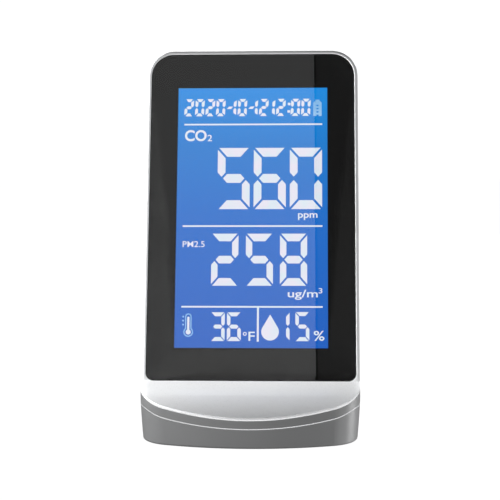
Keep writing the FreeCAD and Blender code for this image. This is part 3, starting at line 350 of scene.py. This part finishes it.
def rounded(points, radius, steps=4):
    """Polygon with each corner turned into a short curve."""
    result = []
    for index, point in enumerate(points):
        corner = Vector(point)
        before = Vector(points[index - 1]) - corner
        after = Vector(points[(index + 1) % len(points)]) - corner
        reach = min(radius, before.length * CORNER_SHARE, after.length * CORNER_SHARE)
        start = corner + before.normalized() * reach
        end = corner + after.normalized() * reach
        for step in range(steps + 1):
            share = step / steps
            result.append(start.lerp(corner, share).lerp(corner.lerp(end, share), share))
    return result


def circle(x, v, radius, count=32, start=0.0, sweep=360.0):
    """Points along an arc or a whole circle, with its angles in degrees."""
    angles = [math.radians(start + sweep * step / count) for step in range(count)]
    return [Vector((x + radius * math.cos(angle), v + radius * math.sin(angle))) for angle in angles]


def rectangle(left, right, low, high):
    return [Vector((left, low)), Vector((right, low)), Vector((right, high)), Vector((left, high))]


def add_piece(name, mesh, material):
    """Piece on the display glass, from its finished mesh."""
    mesh.materials.clear()
    mesh.materials.append(material)
    piece = bpy.data.objects.new(name, mesh)
    bpy.context.scene.collection.objects.link(piece)
    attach(piece, "housing")


def add_ink(name, outlines, material, rings=()):
    """Thin closed plates from plain outlines, and from rings given as an outer and an inner outline."""
    vertices, faces = [], []
    back, front = INK_LIFT - LCD_DEPTH, INK_LIFT + INK - LCD_DEPTH

    def layer(outline, w):
        first = len(vertices)
        vertices.extend(on_face(point.x, point.y, w) for point in outline)
        return list(range(first, len(vertices)))

    def wall(lower, upper):
        count = len(lower)
        for index in range(count):
            after = (index + 1) % count
            faces.append((lower[index], lower[after], upper[after], upper[index]))

    for outline in outlines:
        lower, upper = layer(outline, back), layer(outline, front)
        faces.append(lower[::-1])
        faces.append(upper)
        wall(lower, upper)
    for outer, inner in rings:
        outer_low, outer_high = layer(outer, back), layer(outer, front)
        inner_low, inner_high = layer(inner, back), layer(inner, front)
        wall(outer_low, outer_high)
        wall(inner_high, inner_low)
        wall(outer_high, inner_high)
        wall(inner_low, outer_low)
    mesh = bpy.data.meshes.new(name)
    mesh.from_pydata(vertices, [], faces)
    mesh.validate()
    add_piece(name, mesh, material)


SEGMENTS = {"0": "abcdef", "1": "bc", "2": "abged", "3": "abgcd", "5": "afgcd", "6": "afgedc", "8": "abcdefg"}


def digit(symbol, left, low, size, stroke, gap, cut=0.0, radius=0.0, slant=0.0):
    """Seven-segment digit as polygons; stroke is the width of its upright and of its level segments."""
    width, height = size[0] + gap, size[1] + gap
    upright, level = stroke[0] + gap, stroke[1] + gap
    middle, half = height / 2, level / 2
    right, top = width - upright, height - level
    shapes = {
        "a": [(cut, height), (width - cut, height), (right, top), (upright, top)],
        "d": [(cut, 0), (upright, level), (right, level), (width - cut, 0)],
        "g": [(upright / 2, middle), (upright, middle + half), (right, middle + half),
              (width - upright / 2, middle), (right, middle - half), (upright, middle - half)],
        "f": [(0, height - cut), (upright, top), (upright, middle + half), (upright / 2, middle),
              (0, middle + half)],
        "e": [(0, cut), (0, middle - half), (upright / 2, middle), (upright, middle - half),
              (upright, level)],
    }
    for name, twin in (("b", "f"), ("c", "e")):
        shapes[name] = [(width - x, y) for x, y in shapes[twin]][::-1]
    outlines = []
    for segment in SEGMENTS[symbol]:
        outline = inset(shapes[segment], gap / 2)
        shifted = [point + Vector((left - gap / 2 + slant * point.y, low - gap / 2)) for point in outline]
        outlines.append(rounded(shifted, radius) if radius else shifted)
    return outlines


def add_number(name, symbols, lefts, low, size, stroke, gap, material):
    outlines = []
    for symbol, left in zip(symbols, lefts):
        outlines += digit(symbol, left, low, size, stroke, gap)
    add_ink(name, outlines, material)


def add_text(name, words, left, right, low, high, material, bold=0.008):
    """Lettering of a unit or a reading's name, stretched to fill its place on the glass."""
    curve = bpy.data.curves.new(name + "_outline", "FONT")
    curve.body = words
    curve.extrude = 0.01
    curve.offset = bold
    source = bpy.data.objects.new(name + "_outline", curve)
    bpy.context.scene.collection.objects.link(source)
    bpy.context.view_layer.update()
    mesh = bpy.data.meshes.new_from_object(source.evaluated_get(bpy.context.evaluated_depsgraph_get()))
    bpy.data.objects.remove(source)
    xs = [vertex.co.x for vertex in mesh.vertices]
    ys = [vertex.co.y for vertex in mesh.vertices]
    for vertex in mesh.vertices:
        x = left + (right - left) * (vertex.co.x - min(xs)) / (max(xs) - min(xs))
        v = low + (high - low) * (vertex.co.y - min(ys)) / (max(ys) - min(ys))
        depth = INK_LIFT - LCD_DEPTH + (INK if vertex.co.z > 0 else 0)
        vertex.co = on_face(x, v, depth)
    add_piece(name, mesh, material)


CLOCK_LOW = 101.35
CLOCK_SIZE = (3.5, 6.8)
CLOCK_STROKE = (1.1, 1.15)
CLOCK_GAP = 0.2
CLOCK_CUT = 0.4
CLOCK_ROUNDING = 0.18
CLOCK_SLANT = math.tan(math.radians(2.5))
DASH_LEFTS = (-9.95, -1.7)
DASH_LENGTH, DASH_SHIFT = 1.6, 0.8
DASH_LOW, DASH_HIGH = 104.2, 105.15
DASH_ROUNDING = 0.1
COLON_DOTS = ((13.75, 103.15), (13.9, 106.1))
COLON_HALF = (0.52, 0.5)
COLON_ROUNDING = 0.25


def add_clock(material):
    """Date and time along the top of the display: slanted digits with rounded ends."""
    lefts = {"year": (("2", -26.35), ("0", -22.25), ("2", -18.2), ("0", -14.2)),
             "month": (("1", -9.95), ("0", -5.9)),
             "day": (("1", -1.75), ("2", 2.3)),
             "time": (("1", 4.85), ("2", 8.85), ("0", 14.4), ("0", 18.4))}
    outlines = []
    for symbol, left in (pair for group in lefts.values() for pair in group):
        outlines += digit(symbol, left, CLOCK_LOW, CLOCK_SIZE, CLOCK_STROKE, CLOCK_GAP, CLOCK_CUT,
                          CLOCK_ROUNDING, CLOCK_SLANT)
    for left in DASH_LEFTS:
        dash = rectangle(left, left + DASH_LENGTH, DASH_LOW, DASH_HIGH)
        for corner in dash[2:]:
            corner.x += DASH_SHIFT
        outlines.append(rounded(dash, DASH_ROUNDING))
    for x, v in COLON_DOTS:
        dot = rectangle(x - COLON_HALF[0], x + COLON_HALF[0], v - COLON_HALF[1], v + COLON_HALF[1])
        outlines.append(rounded(dot, COLON_ROUNDING))
    add_ink("clock_digits", outlines, material)


RULE_LEFT, RULE_RIGHT = -26.2, 26.5
RULE_LOWS = (97.75, 58.15, 27.5)
RULE_HEIGHT = 0.62
DIVIDER_LEFT, DIVIDER_RIGHT = 2.05, 2.8
DIVIDER_LOW = 14.8


def add_rules(material):
    """Thin lines that divide the display into its fields."""
    rules = [rectangle(RULE_LEFT, RULE_RIGHT, low, low + RULE_HEIGHT) for low in RULE_LOWS]
    rules.append(rectangle(DIVIDER_LEFT, DIVIDER_RIGHT, DIVIDER_LOW, min(RULE_LOWS)))
    add_ink("field_rules", rules, material)


THERMOMETER_X = -23.5
BULB_HEIGHT = 18.35
TICK_X = -25.45
TICK_HEIGHTS = (21.1, 22.6, 24.1)
BATTERY_LEFT, BATTERY_RIGHT = 23.15, 26.3
BATTERY_LOW, BATTERY_HIGH = 101.3, 106.55
BATTERY_WINDOW = (24.3, 25.15)      # sides of the column of bars
BATTERY_BARS = ((101.85, 102.65), (103.2, 103.95), (104.45, 105.2), (105.7, 106.55))
BATTERY_NECK = (23.75, 25.7, 107.15)
BATTERY_CAP = (23.95, 25.5, 107.75)


def thermometer_outline(stem, bulb, top):
    """Closed outline of a thermometer: round bulb below, narrow round-ended stem above."""
    x = THERMOMETER_X
    join = math.degrees(math.asin(stem / bulb))
    lower = circle(x, BULB_HEIGHT, bulb, 32, 90 + join, 360 - 2 * join)
    lower.append(Vector((x + stem, BULB_HEIGHT + math.sqrt(bulb ** 2 - stem ** 2))))
    upper = circle(x, top - stem, stem, 16, 0, 180) + [Vector((x - stem, top - stem))]
    return lower + upper


def add_icons(ink, faint):
    """Thermometer, water drop and battery."""
    ring = (thermometer_outline(1.18, 1.82, 25.3), thermometer_outline(0.8, 1.4, 24.9))
    add_ink("thermometer_outline", [], faint, [ring])
    add_ink("thermometer_mercury", [thermometer_outline(0.42, 0.95, 24.1)], ink)
    ticks = [circle(TICK_X, v, 0.33, 12) for v in TICK_HEIGHTS]
    add_ink("thermometer_ticks", ticks, faint)
    add_ink("water_drop", [drop_outline(6.98, 18.5, 3.27, 24.95)], ink)
    add_ink("battery_icon", battery_outlines(), faint)


def battery_outlines():
    """Standing battery: cap, two side bars, sloping shoulders, and the level bars between the sides."""
    neck_left, neck_right, neck = BATTERY_NECK
    cap_left, cap_right, cap_top = BATTERY_CAP
    window_left, window_right = BATTERY_WINDOW
    shoulders = [Vector((BATTERY_LEFT, BATTERY_HIGH)), Vector((BATTERY_RIGHT, BATTERY_HIGH)),
                 Vector((neck_right, neck)), Vector((neck_left, neck))]
    outlines = [rectangle(cap_left, cap_right, neck, cap_top),
                rectangle(BATTERY_LEFT, window_left, BATTERY_LOW, BATTERY_HIGH),
                rectangle(window_right, BATTERY_RIGHT, BATTERY_LOW, BATTERY_HIGH), shoulders]
    return outlines + [rectangle(window_left, window_right, low, high) for low, high in BATTERY_BARS]


def drop_outline(x, base, radius, top):
    """Water drop: a circle with two tangents that meet at its tip."""
    lean = math.degrees(math.acos(radius / (top - base)))
    outline = circle(x, base, radius, 48, 90 + lean, 360 - 2 * lean)
    side = Vector((math.sin(math.radians(lean)), math.cos(math.radians(lean))))
    outline.append(Vector((x, base)) + side * radius)
    outline.append(Vector((x, top)))
    return outline


def make_display():
    """Everything lit on the display. Places and sizes are millimetres on the display face."""
    ink = lit_ink("lit_segment", (0.73, 0.82, 0.90), (0.82, 0.79, 0.90))
    faint = lit_ink("faint_segment", (0.24, 0.50, 0.83), (0.32, 0.57, 0.88))
    add_clock(ink)
    add_rules(ink)
    add_number("co2_digits", "560", (-13.2, 0.5, 14.2), 65.0, (12.2, 23.8), (2.95, 3.45), 0.85, ink)
    add_number("dust_digits", "258", (-15.25, -2.25, 10.55), 35.75, (10.2, 19.8), (2.4, 2.9), 0.72, ink)
    add_number("temperature_digits", "36", (-15.1, -9.1), 15.0, (5.2, 10.75), (1.3, 1.5), 0.34, ink)
    add_number("humidity_digits", "15", (9.0, 16.35), 15.05, (5.2, 10.85), (1.3, 1.5), 0.34, ink)
    add_text("co2_label", "CO", -25.9, -17.6, 91.5, 95.9, ink, 0.026)
    add_text("co2_label_two", "2", -17.25, -15.5, 91.5, 94.0, ink)
    add_text("co2_unit", "ppm", 17.3, 24.65, 60.8, 63.4, ink, 0.016)
    add_text("dust_label", "PM2.5", -26.1, -17.8, 50.4, 52.7, ink, 0.005)
    add_text("dust_unit", "ug/m", 13.5, 24.7, 30.5, 34.3, ink, 0.012)
    add_text("dust_unit_cubed", "3", 25.0, 26.4, 32.9, 34.9, ink)
    add_text("temperature_unit", "F", -1.05, 1.3, 15.1, 18.5, ink)
    add_ink("degree_ring", [], ink, [(circle(-2.4, 17.7, 0.72, 24), circle(-2.4, 17.7, 0.38, 24))])
    add_text("humidity_unit", "%", 23.15, 27.1, 15.2, 18.9, ink, 0.012)
    add_icons(ink, faint)


# ---- studio ----------------------------------------------------------------------------------------
CAMERA_AZIMUTH = math.radians(2.285)
CAMERA_ELEVATION = math.radians(5.0)
CAMERA_DISTANCE = 0.456
CAMERA_ROLL = math.radians(-0.18)
CAMERA_LENS = 90.5
CAMERA_SENSOR = 36.0
CAMERA_TARGET = Vector((-0.00006, -0.0147, 0.06846))


def add_camera():
    """Camera that looks at its target from the given angles, with a slight roll."""
    back = Vector((math.sin(CAMERA_AZIMUTH) * math.cos(CAMERA_ELEVATION),
                   -math.cos(CAMERA_AZIMUTH) * math.cos(CAMERA_ELEVATION), math.sin(CAMERA_ELEVATION)))
    data = bpy.data.cameras.new("camera")
    data.lens = CAMERA_LENS
    data.sensor_width = CAMERA_SENSOR
    data.clip_start = 0.01
    data.clip_end = 100.0
    camera = bpy.data.objects.new("camera", data)
    bpy.context.scene.collection.objects.link(camera)
    right = (-back).cross(Vector((0, 0, 1))).normalized()
    up = right.cross(-back)
    turned_right = right * math.cos(CAMERA_ROLL) + up * math.sin(CAMERA_ROLL)
    turned_up = up * math.cos(CAMERA_ROLL) - right * math.sin(CAMERA_ROLL)
    rotation = Matrix((turned_right, turned_up, back)).transposed()
    camera.matrix_world = Matrix.Translation(CAMERA_TARGET + back * CAMERA_DISTANCE) @ rotation.to_4x4()
    bpy.context.scene.camera = camera


def add_area_light(name, position, target, size, power, shadow=True):
    """Rectangular soft light of the given width and height, aimed at a target."""
    data = bpy.data.lights.new(name, "AREA")
    data.shape = "RECTANGLE"
    data.size, data.size_y = size
    data.energy = power
    data.use_shadow = shadow
    light = bpy.data.objects.new(name, data)
    light.location = position
    light.rotation_euler = (Vector(target) - Vector(position)).to_track_quat("-Z", "Y").to_euler()
    light.visible_camera = False
    bpy.context.scene.collection.objects.link(light)
    return light


BACKDROP_STRENGTH = 1.05
AROUND_STRENGTH = 0.03
FLOOR_GLOW = 1.0
FLOOR_HALF = 3.0


def add_world():
    """White background to look at, dim grey surroundings for light and reflections."""
    world = bpy.data.worlds.new("studio")
    bpy.context.scene.world = world
    world.use_nodes = True
    tree = world.node_tree
    tree.nodes.clear()
    output = tree.nodes.new("ShaderNodeOutputWorld")
    seen = tree.nodes.new("ShaderNodeBackground")
    seen.inputs["Color"].default_value = (1, 1, 1, 1)
    seen.inputs["Strength"].default_value = BACKDROP_STRENGTH
    around = tree.nodes.new("ShaderNodeBackground")
    around.inputs["Color"].default_value = (0.97, 0.98, 1.0, 1)
    around.inputs["Strength"].default_value = AROUND_STRENGTH
    path = tree.nodes.new("ShaderNodeLightPath")
    mix = tree.nodes.new("ShaderNodeMixShader")
    tree.links.new(path.outputs["Is Camera Ray"], mix.inputs["Fac"])
    tree.links.new(around.outputs["Background"], mix.inputs[1])
    tree.links.new(seen.outputs["Background"], mix.inputs[2])
    tree.links.new(mix.outputs["Shader"], output.inputs["Surface"])


def add_floor():
    """Pale floor that is bright enough to merge with the background."""
    material, tree, shader = new_material("pale_floor")
    shader.inputs["Base Color"].default_value = (0.35, 0.35, 0.35, 1)
    shader.inputs["Roughness"].default_value = 0.9
    shader.inputs["Specular IOR Level"].default_value = 0.0
    shader.inputs["Emission Color"].default_value = (1, 1, 1, 1)
    shader.inputs["Emission Strength"].default_value = FLOOR_GLOW
    corners = [(-FLOOR_HALF, -FLOOR_HALF, 0), (FLOOR_HALF, -FLOOR_HALF, 0),
               (FLOOR_HALF, FLOOR_HALF, 0), (-FLOOR_HALF, FLOOR_HALF, 0)]
    mesh = bpy.data.meshes.new("floor")
    mesh.from_pydata(corners, [], [(0, 1, 2, 3)])
    mesh.materials.append(material)
    floor = bpy.data.objects.new("floor", mesh)
    floor.visible_diffuse = False
    floor.visible_glossy = False
    bpy.context.scene.collection.objects.link(floor)


# Soft lights that cast no shadow: each is far from the body or near the foot, at an azimuth from the front
# towards +X, an elevation, and a power. FAR and NEAR give the point lit, the distance and the light's size.
FAR = (Vector((0, 0, 0.07)), 0.6, 0.25)
NEAR = (Vector((0, -0.025, 0.015)), 0.24, 0.10)
WHITE_LIGHTS = {
    "rim_left": (FAR, -90, 0, 6.7),
    "rim_low_left": (FAR, -60, -30, 1.6),
    "rim_low_right": (FAR, 60, -30, 2.6),
    "chin_high": (FAR, 180, 60, 0.3),
    "chin_back": (FAR, -140, 30, 4.8),
    "chin_behind": (NEAR, -160, 38, 0.22),
    "chin_left": (NEAR, -75, 15, 0.26),
}
GREY_LIGHTS = {
    "grey_top": (FAR, -60, 70, 4.2),
    "grey_top_right": (FAR, 60, 70, 0.4),
    "grey_left": (FAR, -60, 5, 1.1),
    "grey_right": (FAR, 100, -15, 1.15),
    "grey_low_right": (FAR, 60, -30, 0.5),
}
OUTER_GREY_NODES = ("rear_shell", "base_tub", "rubber_foot", "power_button", "set_button", "up_button",
                    "down_button")
CARDS = {"pale_card": (-0.165, 0.62), "dark_card": (0.233, 0.12)}      # middle in x, and power
CARD_SIZE = (0.396, 0.60)
CARD_FRONT, CARD_HEIGHT = -0.70, 0.44
SOFTBOX_PLACE, SOFTBOX_TARGET = (0.25, 0.75, 0.45), (0, 0, 0.06)
SOFTBOX_SIZE = (0.5, 0.5)
SOFTBOX_POWER = 3.0


def light_only(light, receivers):
    """Let a light reach only the named CAD nodes."""
    collection = bpy.data.collections.new(light.name + "_receivers")
    for name in receivers:
        collection.objects.link(nodes[name])
    light.light_linking.receiver_collection = collection


def add_ring(lights, receivers):
    """Shadowless lights round a point, for the named CAD nodes only."""
    for name, ((middle, distance, size), azimuth, elevation, power) in lights.items():
        azimuth, elevation = math.radians(azimuth), math.radians(elevation)
        level = distance * math.cos(elevation)
        offset = Vector((level * math.sin(azimuth), -level * math.cos(azimuth),
                         distance * math.sin(elevation)))
        light = add_area_light(name, middle + offset, middle, (size, size), power, shadow=False)
        light_only(light, receivers)


def add_cards():
    """Two cards that the lens mirrors: a pale one that ends right of its middle, and a dark one beside it."""
    for name, (x, power) in CARDS.items():
        place, target = (x, CARD_FRONT, CARD_HEIGHT), (x, 0, CARD_HEIGHT)
        light_only(add_area_light(name, place, target, CARD_SIZE, power), ["display_window"])


def add_studio():
    """Plain pale surroundings, floor and lights."""
    scene = bpy.context.scene
    scene.view_settings.view_transform = "Standard"
    scene.view_settings.look = "None"
    add_world()
    add_floor()
    add_ring(WHITE_LIGHTS, ["front_shell"])
    add_ring(GREY_LIGHTS, [name for name in nodes if name.startswith(OUTER_GREY_NODES)])
    add_cards()
    add_area_light("rear_softbox", SOFTBOX_PLACE, SOFTBOX_TARGET, SOFTBOX_SIZE, SOFTBOX_POWER)


dress_cad_nodes()
make_display()
add_camera()
add_studio()
